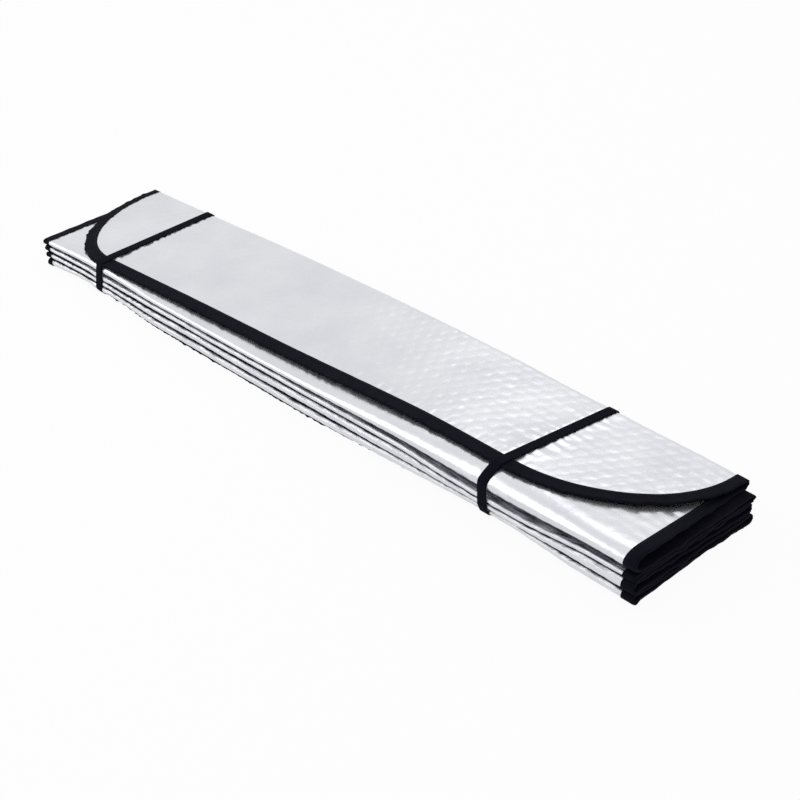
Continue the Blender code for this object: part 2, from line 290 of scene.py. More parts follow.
def panel_point(panel, across, x, off=0.0):
    """A point on a panel, across it from 0 at the back to 1 at the front, off its middle."""
    back, front = layer_heights(x)
    back_fold = panel - panel % 2
    back_y = fold_nose(back_fold, x) - fold_size(back_fold, x)[1]
    slip = fold_slip(back_fold, x) * max(0.0, 1 - across)
    front_fold = back_fold + (1 if panel % 2 else -1)
    if 0 < front_fold < PANELS - 1:
        front_y = fold_nose(front_fold, x) + fold_size(front_fold, x)[1]
        slip += fold_slip(front_fold, x) * across
    else:
        front_y = back_y - PANEL_WIDTH + (back[back_fold] - back[back_fold + 1])
        front_y += band_pull(panel, x) if panel else 0.0
    slope = (front[panel] - back[panel]) / (front_y - back_y)
    lean = off * (-1 if panel % 2 else 1) / sqrt(1 + slope**2)
    y = back_y + (front_y - back_y) * across - lean * slope
    height = back[panel] + (front[panel] - back[panel]) * across + lean
    if panel == 0:
        height += rim_ruffle(across * PANEL_WIDTH, x)
    return Vector((x + slip, SHIFT + y, height))


def tape_legs(x):
    """How far the tape reaches in from the rim at x, on the sheet's face and on its back."""
    size, start = corner(x)
    into = min(max((abs(x) - start) / size, 0.0), 1.0)
    narrowing = LEFT_NARROWING if x < 0 else RIGHT_NARROWING
    along = x / LENGTH + 0.5
    on_back = TAPE_ON_BACK_LEFT + (TAPE_ON_BACK_RIGHT - TAPE_ON_BACK_LEFT) * along
    return TAPE_ON_FACE * (1 - narrowing * into**2), on_back


def full_reach(panel, x):
    """Distance on the sheet from an outer panel's fold to its free edge, corners left aside."""
    if panel:
        return PANEL_WIDTH + BOTTOM_OUTSET
    along = x / LENGTH + 0.5
    inset = TOP_INSET_LEFT + (TOP_INSET_RIGHT - TOP_INSET_LEFT) * along
    return PANEL_WIDTH - inset - TOP_INSET_BOW * sin(pi * along)


def corner(x):
    """The corner ellipse's length at the end that x is nearer to, and where it starts."""
    size = LEFT_CORNER if x < 0 else RIGHT_CORNER
    return size, HALF_LENGTH - size


def free_reach(panel, x):
    """Distance on the sheet from an outer panel's fold to its rim at x."""
    size, start = corner(x)
    into = min(max((abs(x) - start) / size, 0.0), 1.0)
    return full_reach(panel, x) * sqrt(1 - into**2)


def rim_normal(panel, reach, x):
    """Outward direction of an outer panel's rim on the flat sheet: across it, and along X."""
    size, start = corner(x)
    full = full_reach(panel, x)
    into = max(abs(x) - start, 0.0) / size
    slant = TOP_INSET_RIGHT - TOP_INSET_LEFT + TOP_INSET_BOW * pi * cos(pi * (x / LENGTH + 0.5))
    taper = 0.0 if panel else slant / LENGTH
    across = reach / full**2
    along = into / size * (1 if x > 0 else -1) + reach**2 * taper / full**3
    steepness = sqrt(across**2 + along**2)
    return across / steepness, along / steepness


def rim_place(panel, reach, x):
    """On an outer panel: the distance in from its rim, and a running length along that rim."""
    size, start = corner(x)
    full = full_reach(panel, x)
    into = max(abs(x) - start, 0.0) / size
    level = hypot(reach / full, into)
    steepness = hypot(reach / full**2, into / size) / max(level, TINY)
    inward = (1 - level) / max(steepness, TINY)
    turned = atan2(into, max(reach, 0.0) / full) * (size + full) / 2
    along = min(abs(x), start) + turned
    return inward, along if x > 0 else -along


# The ruffle of the top panel's rim: its height, its mean lift and its swing as shares of that, the
# length of its waves, how deep in it fades and where it has ended.
RUFFLE = 0.0006
RUFFLE_LIFT = 0.5
RUFFLE_SWING = 0.9
RUFFLE_LENGTH = 0.014
RUFFLE_DEPTH = 0.014
RUFFLE_END = 3 * RUFFLE_DEPTH

# The puckers that the seams and the bands gather in the film: their height, their length along the
# seam or band, how far they reach from it, and how soon they rise beside it.
PUCKER = 0.0008
PUCKER_LENGTH = 0.0048
BAND_PUCKER = 0.0030
BAND_PUCKER_LENGTH = 0.006
PUCKER_DEPTH = 0.009
PUCKER_RISE = 0.002

# How far from the tape or a band the bubbles are at their full height, and how far from the tape
# the puckers beside a band are.
BUBBLE_CLEAR = 0.006
TAPE_CLEAR = 0.004

# How much slower waves change away from their line than along it. Each kind has its own seed.
WAVE_STRETCH = 4
WAVER_SEED = 2.3
RUFFLE_SEED = 3.1
BAND_SEED = 5.3
SCALLOP_SEED = 6.4
SEAM_SEED = 8.7


def waves(along, depth, length, seed):
    """Smooth irregular waves along a line, slowly changing away from it, from -1 to 1."""
    return noise.noise(Vector((along / length, depth / (length * WAVE_STRETCH), seed)))


def rim_ruffle(reach, x):
    """How far the top panel's rim lifts at a point on that panel."""
    inward, along = rim_place(0, reach, x)
    if inward > RUFFLE_END:
        return 0.0
    fade = exp(-((max(inward, 0.0) / RUFFLE_DEPTH) ** 2)) * (1 - squeeze(x)) ** 2
    return RUFFLE * fade * (RUFFLE_LIFT + RUFFLE_SWING * waves(along, 0.0, RUFFLE_LENGTH, RUFFLE_SEED))


def bubble(x, flat):
    """Height of the film over its web at a place on the flat sheet: a flat-topped dome, or 0."""
    row = floor(flat / BUBBLE_ROW + 0.5)
    height = 0.0
    for step in (row - 1, row, row + 1):
        shift = 0.5 if step % 2 else 0.0
        column = floor(x / BUBBLE_PITCH - shift + 0.5) + shift
        slack = noise.cell_vector(Vector((column + 0.25, step + 0.25, 0.5)))
        middle = column * BUBBLE_PITCH + BUBBLE_DRIFT * (slack.x - 0.5)
        away = hypot(x - middle, flat - step * BUBBLE_ROW - BUBBLE_DRIFT * (slack.y - 0.5))
        full = BUBBLE_HEIGHT * (1 - BUBBLE_SLACK * slack.z)
        height = max(height, full * (1 - smooth(away / BUBBLE_RADIUS, BUBBLE_FLAT, 1.0)))
    return height


def band_distance(x, y):
    """Distance along X from the nearer band's edge, at a y in the frame."""
    aways = [abs(x - place - lean * (y - SHIFT)) for place, lean in BANDS.values()]
    return min(aways) - BAND_WIDTH / 2


def film_relief(spot, flat, inward, along, bound):
    """How far the film stands off its flat form: its bubbles, and puckers beside tape and bands."""
    away = band_distance(spot.x, spot.y)
    clear = smooth(inward, bound, bound + BUBBLE_CLEAR) * smooth(away, 0.0, BUBBLE_CLEAR)
    at_tape = exp(-(max(inward - bound, 0.0) / PUCKER_DEPTH))
    at_tape *= smooth(inward, bound - PUCKER_RISE, bound + PUCKER_RISE)
    at_band = exp(-max(away, 0.0) / PUCKER_DEPTH) * smooth(away, -PUCKER_RISE / 2, PUCKER_RISE)
    at_band *= smooth(inward, bound, bound + TAPE_CLEAR)
    height = bubble(spot.x, flat) * clear
    height += PUCKER * at_tape * waves(along, inward, PUCKER_LENGTH, SEAM_SEED)
    height += BAND_PUCKER * at_band * abs(waves(flat, away, BAND_PUCKER_LENGTH, BAND_SEED))
    return height


def drawn_in(column, turn):
    """Where a column meets an outer panel's row, drawn in where the corner is cut away."""
    start = corner(column)[1]
    if abs(column) <= start:
        return column
    x = start + (abs(column) - start) * sin(turn)
    return x if column > 0 else -x


def columns_along():
    """Every column's place along X."""
    return [-HALF_LENGTH + LENGTH * i / COLUMNS for i in range(COLUMNS + 1)]


def every(step):
    """The numbers of the columns that a row uses, one in so many."""
    return list(range(0, COLUMNS + 1, step))


def corner_columns():
    """Columns that are dense where the outer panels' corners are cut away, and sparse between."""
    columns = columns_along()
    kept = []
    for index in every(MEDIUM):
        start = corner(columns[index])[1]
        if abs(columns[index]) > start - BUBBLE_PITCH or index % SPARSE == 0:
            kept.append(index)
    return kept


def fold_angles(steps=FOLD_STEPS):
    """Angles round a fold, from its upper side to its lower one."""
    return [pi / 2 - pi * i / steps for i in range(steps + 1)]


def across_steps(panel, count):
    """Even steps across an inner panel, in the order in which the sheet runs over it."""
    steps = [i / count for i in range(1, count)]
    return steps if panel % 2 else steps[::-1]


def outer_turns():
    """Corner angles of an outer panel's rows: even steps across it, and closer at the rim."""
    reaches = [*RIM_ROWS, *(1 - i / SHOWN_ROWS for i in range(1, SHOWN_ROWS))]
    return [acos(reach) for reach in reaches]


class FilmRow:
    """A row of the film from end to end: a place for each column, and the columns it uses.

    Its painted crease shade is how deep the row lies between two folds of the front, from 0 to 1, and
    so how much the film's colour is darkened there.
    """

    def __init__(self, point, places, face, back, crease_shade=0.0):
        self.point = point
        self.places = places
        self.face = face
        self.back = back
        self.crease_shade = crease_shade
        self.flats = [0.0] * len(places)
        self.rims = [(0.0, 0.0)] * len(places)


def outer_row(panel, turn, face, back):
    """A row of an outer panel, with its distances from the fold and from the rim."""
    places = [drawn_in(column, turn) for column in columns_along()]
    reaches = [full_reach(panel, x) * cos(turn) for x in places]
    across = dict(zip(places, reaches))

    def point(x, off):
        return panel_point(panel, across[x] / PANEL_WIDTH, x, off)

    row = FilmRow(point, places, face, back)
    row.flats = [-reach if panel == 0 else reach for reach in reaches]
    row.rims = [rim_place(panel, reach, x) for x, reach in zip(places, reaches)]
    return row


def crease_shade_at(fold, angle):
    """How much painted shade a row of a fold gets: how deep it lies between two folds of the front,
    from 0 to 1.
    """
    if fold not in CREASED_FOLDS:
        return 0.0
    faces_roll = fold == CREASED_FOLDS[0] and angle > 0
    return smooth(abs(angle), CREASE_START, CREASE_FULL) * (OPEN_CREASE if faces_roll else 1.0)


def fold_rows(fold, columns):
    """A fold's rows. The sheet's face shows at the back folds, and its back at the front ones."""
    sides = (every(SPARSE), every(MEDIUM)) if fold % 2 else (every(MEDIUM), every(SPARSE))
    return [
        FilmRow(partial(fold_point, fold, angle), columns, *sides, crease_shade_at(fold, angle))
        for angle in fold_angles()
    ]


def inner_rows(panel, columns):
    """An inner panel's rows. Only the second panel shows, beside the top one's edge and corners."""
    second = panel == 1
    rows = []
    for step in across_steps(panel, SHOWN_ROWS if second else HIDDEN_ROWS):
        back = every(SPARSE)
        if second:
            back = every(MEDIUM) if step > FRONT_SHARE else corner_columns()
        point = partial(panel_point, panel, step)
        # The hidden inner panels get the full painted shade; the second panel, which shows, gets none.
        rows.append(FilmRow(point, columns, every(SPARSE), back, 0.0 if second else 1.0))
    return rows


def measure(rows, columns):
    """Gives the rows between the outer panels their places on the flat sheet, and adds them up."""
    length = [0.0] * len(columns)
    before = None
    for row in rows:
        for i, x in enumerate(columns):
            if before:
                length[i] += (row.point(x, 0.0) - before.point(x, 0.0)).length
            row.flats[i] = length[i]
            row.rims[i] = (HALF_LENGTH - abs(x), length[i] if x > 0 else -length[i])
        before = row
    return length


def film_rows():
    """All rows of the sheet, from the top panel's free edge to the bottom panel's."""
    last = PANELS - 1
    columns = columns_along()
    inner = fold_rows(0, columns)
    for panel in range(1, last):
        inner += inner_rows(panel, columns) + fold_rows(panel, columns)
    length = measure(inner, columns)
    turns = outer_turns()
    top = [outer_row(0, turn, every(FINE), every(SPARSE)) for turn in turns]
    bottom = [outer_row(last, turn, every(MEDIUM), every(SPARSE)) for turn in reversed(turns)]
    for row in bottom:
        row.flats = [reach + total for reach, total in zip(row.flats, length)]
    return top + inner + bottom


def join_lines(shape, first, second):
    """Faces between two rows of vertices, each a list of (column, vertex), at any spacing."""
    i = j = 0
    while i < len(first) - 1 or j < len(second) - 1:
        a, b = first[i][1], second[j][1]
        ahead = first[i + 1][0] if i < len(first) - 1 else COLUMNS + 1
        beside = second[j + 1][0] if j < len(second) - 1 else COLUMNS + 1
        corners = [a]
        if ahead <= beside:
            i += 1
            corners.append(first[i][1])
        if beside <= ahead:
            j += 1
            corners.append(second[j][1])
        corners.append(b)
        if len(set(corners)) > 2:
            shape.faces.new(list(dict.fromkeys(corners)))


def film_line(shape, pattern, row, direction, kept):
    """One side of a row, as (column, vertex), with its bubbles and puckers if that side shows."""
    shown = len(kept) > len(every(SPARSE))
    line = []
    for index in kept:
        x, flat = row.places[index], row.flats[index]
        off = HALF_SHEET
        if shown:
            inward, along = row.rims[index]
            bound = tape_legs(x)[direction < 0]
            off += film_relief(row.point(x, 0.0), flat, inward, along, bound)
        vertex = shape.verts.new(row.point(x, direction * off))
        # The third value is the share of painted crease shade in the film's colour.
        vertex[pattern] = (x, flat, row.crease_shade)
        line.append((index, vertex))
    return line


def make_film(material):
    """The whole sheet as one closed surface, its two sides divided as finely as each one shows."""
    shape = bmesh.new()
    pattern = shape.verts.layers.float_vector.new("flat")
    lines = []
    for row in film_rows():
        face = film_line(shape, pattern, row, 1, row.face)
        back = film_line(shape, pattern, row, -1, row.back)
        lines.append((face, back))
    for (face, back), (next_face, next_back) in zip(lines, lines[1:]):
        join_lines(shape, face, next_face)
        join_lines(shape, next_back, back)
        for end in (0, -1):
            shape.faces.new((face[end][1], next_face[end][1], next_back[end][1], back[end][1]))
    for face, back in (lines[0], lines[-1]):
        join_lines(shape, face, back)
    bmesh.ops.remove_doubles(shape, verts=shape.verts, dist=TINY)
    bmesh.ops.recalc_face_normals(shape, faces=shape.faces)
    return finished_object("bubble_film", shape, material)


def finished_object(name, shape, material, sharp=SHARP_TURN):
    """An object from a bmesh, smooth but for its sharp turns."""
    mesh = bpy.data.meshes.new(name)
    shape.to_mesh(mesh)
    shape.free()
    mesh.shade_smooth()
    mesh.set_sharp_from_angle(angle=sharp)
    mesh.materials.append(material)
    piece = bpy.data.objects.new(name, mesh)
    bpy.context.scene.collection.objects.link(piece)
    return piece


def make_ring_object(name, rings, material, sharp=SHARP_TURN):
    """A closed ring of sections, each a list of (place, (along, across)), as one object."""
    shape = bmesh.new()
    pattern = shape.verts.layers.float_vector.new("flat")
    loops = []
    for ring in rings:
        loop = []
        for place, (along, across) in ring:
            vertex = shape.verts.new(place)
            vertex[pattern] = (along, across, 0.0)
            loop.append(vertex)
        loops.append(loop)
    for first, second in zip(loops, loops[1:] + loops[:1]):
        count = len(first)
        for i in range(count):
            j = (i + 1) % count
            shape.faces.new((first[i], first[j], second[j], second[i]))
    bmesh.ops.recalc_face_normals(shape, faces=shape.faces)
    return finished_object(name, shape, material, sharp)


# How finely the tape is divided: steps across each leg and round the rim, the spacing along it, and
# steps across the end of an inner panel. A corner's rim is this share of its two radii added up.
FACE_LEG_STEPS = 6
BACK_LEG_STEPS = 3
RIM_STEPS = 6
RIM_SPACING = 0.0022
END_STEPS = 24
CORNER_ARC = 0.8

# The tape's uneven outer edge: how far it stands out, how sharply, and how long its waves are.
SCALLOP = 0.0034
SCALLOP_POWER = 3
SCALLOP_LENGTH = 0.0042


def tape_outline(on_face, on_back):
    """The tape's J section as (inward, off) points, from the face leg's edge round the rim."""
    near = HALF_SHEET + SEAM_GAP
    outer = [(on_face * (1 - i / FACE_LEG_STEPS), HALF_BOUND) for i in range(FACE_LEG_STEPS)]
    inner = [(inward, near) for inward, _ in outer]
    for i in range(RIM_STEPS + 1):
        turn = pi / 2 - pi * i / RIM_STEPS
        outer.append((-HALF_BOUND * cos(turn), HALF_BOUND * sin(turn)))
        inner.append((-near * cos(turn), near * sin(turn)))
    for i in range(1, BACK_LEG_STEPS + 1):
        inward = on_back * i / BACK_LEG_STEPS
        outer.append((inward, -HALF_BOUND))
        inner.append((inward, -near))
    return outer + inner[::-1]


def tape_ring(point, along, x):
    """The tape's section at x, where point(inward, off) is a place inward from the rim."""
    wave = 0.5 + 0.5 * waves(along, 0.0, SCALLOP_LENGTH, SCALLOP_SEED)
    out = SCALLOP * wave**SCALLOP_POWER
    on_face, on_back = tape_legs(x)
    ring = []
    for inward, off in tape_outline(on_face, on_back):
        share = 1 - max(inward, 0.0) / (on_face if off > 0 else on_back)
        ring.append((point(inward - out * share, off), (along, inward)))
    return ring


def rim_points(panel):
    """Places (reach, x) round an outer panel's rim, evenly spaced, from its left corner."""
    places = []
    for size, side in ((LEFT_CORNER, -1), (RIGHT_CORNER, 1)):
        steps = int((size + PANEL_WIDTH) * CORNER_ARC / RIM_SPACING)
        turns = [pi / 2 * i / steps for i in range(1, steps)]
        places += [side * (HALF_LENGTH - size * (1 - sin(turn))) for turn in turns]
    left, right = LEFT_CORNER - HALF_LENGTH, HALF_LENGTH - RIGHT_CORNER
    steps = int((right - left) / RIM_SPACING)
    places += [left + (right - left) * i / steps for i in range(steps + 1)]
    return [(free_reach(panel, x), x) for x in sorted(places)]


def rim_spot(panel, reach, x, inward, off):
    """A point straight inward from a place (reach, x) on an outer panel's rim."""
    across, lengthwise = rim_normal(panel, reach, x)
    place = (reach - inward * across) / PANEL_WIDTH
    return panel_point(panel, place, x - inward * lengthwise, off)


def rim_rings(panel):
    """Rings round an outer panel's rim, from its left corner."""
    rings = []
    for reach, x in rim_points(panel):
        along = rim_place(panel, reach, x)[1]
        rings.append(tape_ring(partial(rim_spot, panel, reach, x), along, x))
    return rings


def end_spot(line, side, inward, off):
    """A point inward from one end of a line along X, which is on a fold or a panel."""
    return line(side * (HALF_LENGTH - inward), off)


def end_rings(side, start):
    """Rings down one end of the pack, between the two outer panels' corners."""
    lines = []
    for fold in range(PANELS - 1):
        lines += [partial(fold_point, fold, angle) for angle in fold_angles()]
        panel = fold + 1
        if panel < PANELS - 1:
            lines += [partial(panel_point, panel, step) for step in across_steps(panel, END_STEPS)]
    return [
        tape_ring(partial(end_spot, line, side), start + i * RIM_SPACING, side * HALF_LENGTH)
        for i, line in enumerate(lines)
    ]


def make_edge_binding(material):
    """One tape round the whole rim, so it follows every fold at both ends of the pack."""
    top, bottom = rim_rings(0), rim_rings(PANELS - 1)
    rings = top + end_rings(1, LENGTH) + bottom[::-1] + end_rings(-1, LENGTH)[::-1]
    return make_ring_object("edge_tape", rings, material)


# The sewing thread: how thick it is, its stitches' length, pitch, and steps round and along one,
# how far its seams lie in from the edges of the tape's legs, how far its middle lies above them, and
# how many steps of the top roll are left unsewn at its lower side.
THREAD = 0.00050
STITCH = 0.0028
STITCH_PITCH = 0.0035
STITCH_STEPS = 6
SEAM_INSET = 0.0020
THREAD_RISE = 0.00003
UNSEWN_STEPS = 3


def put_in_order(mesh):
    """Writes a mesh again with its faces in order, because a new sphere's come in any order."""
    places = [tuple(vertex.co) for vertex in mesh.vertices]
    faces = sorted(tuple(face.vertices) for face in mesh.polygons)
    mesh.clear_geometry()
    mesh.from_pydata(places, [], faces)


def make_stitch(name):
    """One stitch, lying along X and pointed at both ends, where it goes into the tape."""
    bpy.ops.object.select_all(action="DESELECT")
    bpy.ops.mesh.primitive_uv_sphere_add(
        segments=STITCH_STEPS, ring_count=STITCH_STEPS, radius=0.5, rotation=(0, pi / 2, 0)
    )
    stitch = bpy.context.object
    stitch.name = name
    put_in_order(stitch.data)
    bpy.ops.object.transform_apply(location=False, rotation=True, scale=False)
    bpy.ops.object.mode_set(mode="EDIT")
    bpy.ops.mesh.select_all(action="SELECT")
    bpy.ops.transform.resize(value=(STITCH, THREAD, THREAD), center_override=(0, 0, 0))
    bpy.ops.object.mode_set(mode="OBJECT")
    bpy.ops.object.shade_smooth()
    return stitch


def make_guide(name, path):
    """A curve that a seam is bent along."""
    line = bpy.data.curves.new(name, "CURVE")
    line.dimensions = "3D"
    line.twist_mode = "Z_UP"
    spline = line.splines.new("POLY")
    spline.points.add(len(path) - 1)
    for point, place in zip(spline.points, path):
        point.co = (*place, 1)
    guide = bpy.data.objects.new(name, line)
    bpy.context.scene.collection.objects.link(guide)
    return guide


def sew(name, path, material):
    """A seam: one stitch, repeated at an even pitch along a path."""
    guide = make_guide(name + "_path", path)
    seam = make_stitch(name)
    row = seam.modifiers.new("row", "ARRAY")
    row.use_relative_offset = False
    row.use_constant_offset = True
    row.constant_offset_displace = (STITCH_PITCH, 0, 0)
    row.count = int(sum((b - a).length for a, b in zip(path, path[1:])) / STITCH_PITCH)
    bend = seam.modifiers.new("bend", "CURVE")
    bend.object = guide
    for step in ("row", "bend"):
        bpy.ops.object.modifier_apply(modifier=step)
    bpy.data.objects.remove(guide, do_unlink=True)
    seam.data.materials.append(material)
    return seam


def rim_seam(panel):
    """The seam's path along the wide leg of the tape on an outer panel."""
    return [
        rim_spot(panel, reach, x, tape_legs(x)[0] - SEAM_INSET, HALF_BOUND + THREAD_RISE)
        for reach, x in rim_points(panel)
    ]


def end_seam(side):
    """The seam's path along the narrow leg at an end, over the second panel and round its fold."""
    x = side * (HALF_LENGTH - tape_legs(side * HALF_LENGTH)[1] + SEAM_INSET)
    off = -HALF_BOUND - THREAD_RISE
    path = [panel_point(1, i / SHOWN_ROWS, x, off) for i in range(SHOWN_ROWS)]
    return path + [fold_point(1, angle, x, off) for angle in fold_angles()[:-UNSEWN_STEPS]]


def make_seams(material):
    """All seams that show, each a piece of its own."""
    paths = {
        "top_seam": rim_seam(0),
        "bottom_seam": rim_seam(PANELS - 1),
        "left_end_seam": end_seam(-1),
        "right_end_seam": end_seam(1),
    }
    return [sew(name, path, material) for name, path in paths.items()]


# A band's knitted ribs and its thinner edges.
BAND_RIBS = 7
RIB_RELIEF = 0.00016
EDGE_THICKNESS = 0.55
EDGE_ROUNDING = 0.0006

# How finely a band is divided: steps round a rib, the spacing round the pack, and how much of the
# loop a corner's turn is spread over. The pack's outline under it: steps round a fold, and the
# closest that two of its points may lie.
RIB_STEPS = 4
LOOP_SPACING = 0.0016
CORNER_SPREAD = 0.004
OUTLINE_STEPS = 16
OUTLINE_SPACING = 0.0003


def convex_outline(points, smallest):
    """The outermost of these (y, z) points, anticlockwise, with no two almost together."""
    points = sorted(set((round(y, 6), round(z, 6)) for y, z in points))
    chains = []
    for ordered in (points, points[::-1]):
        chain = []
        for y, z in ordered:
            while len(chain) > 1:
                (ay, az), (by, bz) = chain[-2:]
                if (by - ay) * (z - az) - (bz - az) * (y - ay) > 1e-9:
                    break
                chain.pop()
            chain.append((y, z))
        chains += chain[:-1]
    kept = []
    for point in chains:
        if not kept or dist(point, kept[-1]) > smallest:
            kept.append(point)
    return kept


def pack_section(place, lean):
    """Every (y, z) that a band has to go round: sheet, edge tape and the flat it lies on."""
    points = []
    for shift in (-1, 0, 1):
        x = place + shift * band_half_span(lean)
        for fold in range(PANELS - 1):
            for angle in fold_angles(OUTLINE_STEPS):
                points += [fold_point(fold, angle, x, off)[1:] for off in (-HALF_SHEET, HALF_SHEET)]
        for panel in (0, PANELS - 1):
            rim = free_reach(panel, x)
            for reach in (rim + SEAM_GAP + TAPE, rim - tape_legs(x)[0]):
                for off in (-HALF_BOUND, HALF_BOUND):
                    points.append(panel_point(panel, reach / PANEL_WIDTH, x, off)[1:])
        back, _ = layer_heights(x)
        points.append((SHIFT + HALF_WIDTH - BOUND, back[-1] - HALF_BOUND))
    return convex_outline(points, OUTLINE_SPACING)


def even_loop(outline, spacing):
    """Points evenly spaced round a closed outline."""
    ends = outline[1:] + outline[:1]
    lengths = [dist(a, b) for a, b in zip(outline, ends)]
    total = sum(lengths)
    count = int(total / spacing)
    points = []
    side, passed = 0, 0.0
    for i in range(count):
        target = total * i / count
        while passed + lengths[side] < target:
            passed += lengths[side]
            side += 1
        t = (target - passed) / lengths[side]
        a, b = outline[side], ends[side]
        points.append((a[0] + (b[0] - a[0]) * t, a[1] + (b[1] - a[1]) * t))
    return points


def outward_normals(points, spread):
    """Unit normals of an anticlockwise loop, each taken over a few points to either side."""
    normals = []
    count = len(points)
    for i in range(count):
        a, b = points[(i - spread) % count], points[(i + spread) % count]
        length = dist(a, b)
        normals.append(((b[1] - a[1]) / length, (a[0] - b[0]) / length))
    return normals


def band_section():
    """(across, outward) points round a band's ribbed section; outward 0 is its inner face."""
    outer, inner = [], []
    steps = BAND_RIBS * RIB_STEPS
    for i in range(steps + 1):
        across = BAND_WIDTH * (i / steps - 0.5)
        rib = abs(sin(pi * BAND_RIBS * i / steps))
        edge = smooth(BAND_WIDTH / 2 - abs(across), 0.0, EDGE_ROUNDING)
        thickness = BAND_THICKNESS * (EDGE_THICKNESS + (1 - EDGE_THICKNESS) * edge)
        outer.append((across, thickness - RIB_RELIEF * (1 - rib)))
        inner.append((across, 0.0))
    return outer + inner[::-1]


def make_band(name, place, lean, material):
    """A ribbed elastic ring drawn tight round the pack."""
    loop = even_loop(pack_section(place, lean), LOOP_SPACING)
    spread = max(1, int(CORNER_SPREAD / LOOP_SPACING / 2))
    rings = []
    for i, ((y, z), (ny, nz)) in enumerate(zip(loop, outward_normals(loop, spread))):
        ring = []
        for across, outward in band_section():
            away = BAND_GAP + outward
            x = place + lean * (y - SHIFT) + across
            spot = Vector((x, y + ny * away, z + nz * away))
            ring.append((spot, (i * LOOP_SPACING, across)))
        rings.append(ring)
    return make_ring_object(name, rings, material, BAND_SHARP_TURN)


class Signal:
    """An output in a material's node tree. Arithmetic on it adds Math nodes."""

    def __init__(self, tree, socket=None):
        self.tree = tree
        self.socket = socket

    def node(self, kind, settings=None, sockets=None, output=0):
        """A new node's output, if it has any.

        Its settings are set first, then its sockets' values or links.
        """
        made = self.tree.nodes.new(kind)
        for name, value in (settings or {}).items():
            if name == "stops":
                for stop, (place, colour) in zip(made.color_ramp.elements, value):
                    stop.position = place
                    stop.color = (*colour, 1)
            else:
                setattr(made, name, value)
        for place, value in (sockets or {}).items():
            if isinstance(value, Signal):
                self.tree.links.new(value.socket, made.inputs[place])
            else:
                made.inputs[place].default_value = value
        return Signal(self.tree, made.outputs[output] if made.outputs else None)

    def output(self, place):
        """Another output of the same node."""
        return Signal(self.tree, self.socket.node.outputs[place])

    def math(self, operation, *values):
        return self.node("ShaderNodeMath", {"operation": operation}, dict(enumerate(values)))

    def __add__(self, other):
        return self.math("ADD", self, other)

    def __radd__(self, other):
        return self.math("ADD", other, self)

    def __sub__(self, other):
        return self.math("SUBTRACT", self, other)

    def __rsub__(self, other):
        return self.math("SUBTRACT", other, self)

    def __mul__(self, other):
        return self.math("MULTIPLY", self, other)

    def __rmul__(self, other):
        return self.math("MULTIPLY", other, self)


def new_material(name):
    """A material with an empty tree, and a signal to build on."""
    material = bpy.data.materials.new(name)
    material.use_nodes = True
    tree = material.node_tree
    tree.nodes.clear()
    return material, Signal(tree)


def link_surface(start, output, shader):
    """Adds the tree's closing node, of the type given as output, and links the shader to it."""
    start.node(output, None, {"Surface": shader})


def finish_surface(start, constants, varying):
    """Adds the shader: constants are set on its own sockets, varying signals are linked."""
    shader = start.node("ShaderNodeBsdfPrincipled", None, {**constants, **varying})
    link_surface(start, "ShaderNodeOutputMaterial", shader)


def flat_place(start):
    """Where a point lies on the flat goods: the place, and its three values as signals."""
    place = start.node("ShaderNodeAttribute", {"attribute_name": "flat"}, None, "Vector")
    split = place.node("ShaderNodeSeparateXYZ", None, {0: place})
    return place, *(split.output(name) for name in "XYZ")


def noise_at(place, scale, detail, roughness=0.5):
    sockets = {"Vector": place, "Scale": scale, "Detail": detail, "Roughness": roughness}
    return place.node("ShaderNodeTexNoise", None, sockets)


def ramp(signal, low, low_colour, high, high_colour):
    stops = [(low, low_colour), (high, high_colour)]
    return signal.node("ShaderNodeValToRGB", {"stops": stops}, {0: signal})


def blend(factor, first, second):
    """A colour that turns from the first, a signal, into the second as the factor goes from 0 to 1."""
    sockets = {0: factor, 6: first, 7: (*second, 1)}
    return factor.node("ShaderNodeMix", {"data_type": "RGBA"}, sockets, 2)


def threads(signal, pitch):
    """Waves across a weave: one thread to each pitch."""
    return signal.math("SINE", signal * (2 * pi / pitch))


def bump_from(height, strength, distance):
    sockets = {"Strength": strength, "Distance": distance, "Height": height}
    return height.node("ShaderNodeBump", None, sockets)


# The film: its tints, how metallic it is, its roughness and how far that swings, and the painted
# shade between its folds, dark and streaked where the gaps there are in shade: its colour, how much
# its streaks are stretched along X, their mean and their contrast.
FILM_DULL = (0.66, 0.672, 0.71)
FILM_BRIGHT = (0.74, 0.75, 0.78)
FILM_METALLIC = 0.86
FILM_ROUGHNESS = 0.27
FINE_SWING = 0.18
BROAD_SWING = 0.10
PAINTED_CREASE_SHADE = (0.045, 0.045, 0.06)
SHADE_STREAK_STRETCH = (0.12, 1, 0)
SHADE_STREAK_MIDDLE = 0.42
SHADE_STREAK_CONTRAST = 12


def film_material():
    material, start = new_material("metallised bubble film")
    place, _, _, crease_shade = flat_place(start)
    broad = noise_at(place, 14.0, 3.0)
    fine = noise_at(place, 260.0, 4.0, 0.6)
    wrinkles = noise_at(place, 90.0, 2.0, 0.4)
    stretched = {0: place, 1: SHADE_STREAK_STRETCH}
    streaks = place.node("ShaderNodeVectorMath", {"operation": "MULTIPLY"}, stretched)
    drawn = noise_at(streaks, 420.0, 2.0, 0.5)
    skin = ramp(broad, 0.3, FILM_DULL, 0.7, FILM_BRIGHT)
    # Painted shade: the film darkens towards the depth of the gaps between the front folds, in
    # streaks.
    painted_shade_share = crease_shade * crease_shade + crease_shade * (1 - crease_shade) * (drawn - SHADE_STREAK_MIDDLE) * SHADE_STREAK_CONTRAST
    varying = {
        "Base Color": blend(painted_shade_share, skin, PAINTED_CREASE_SHADE),
        "Roughness": FILM_ROUGHNESS + (fine - 0.5) * FINE_SWING + (broad - 0.5) * BROAD_SWING,
        "Normal": bump_from(fine * 0.25 + wrinkles + drawn * 0.35, 0.35, 0.0006),
    }
    finish_surface(start, {"Metallic": FILM_METALLIC, "IOR": 1.5}, varying)
    return material


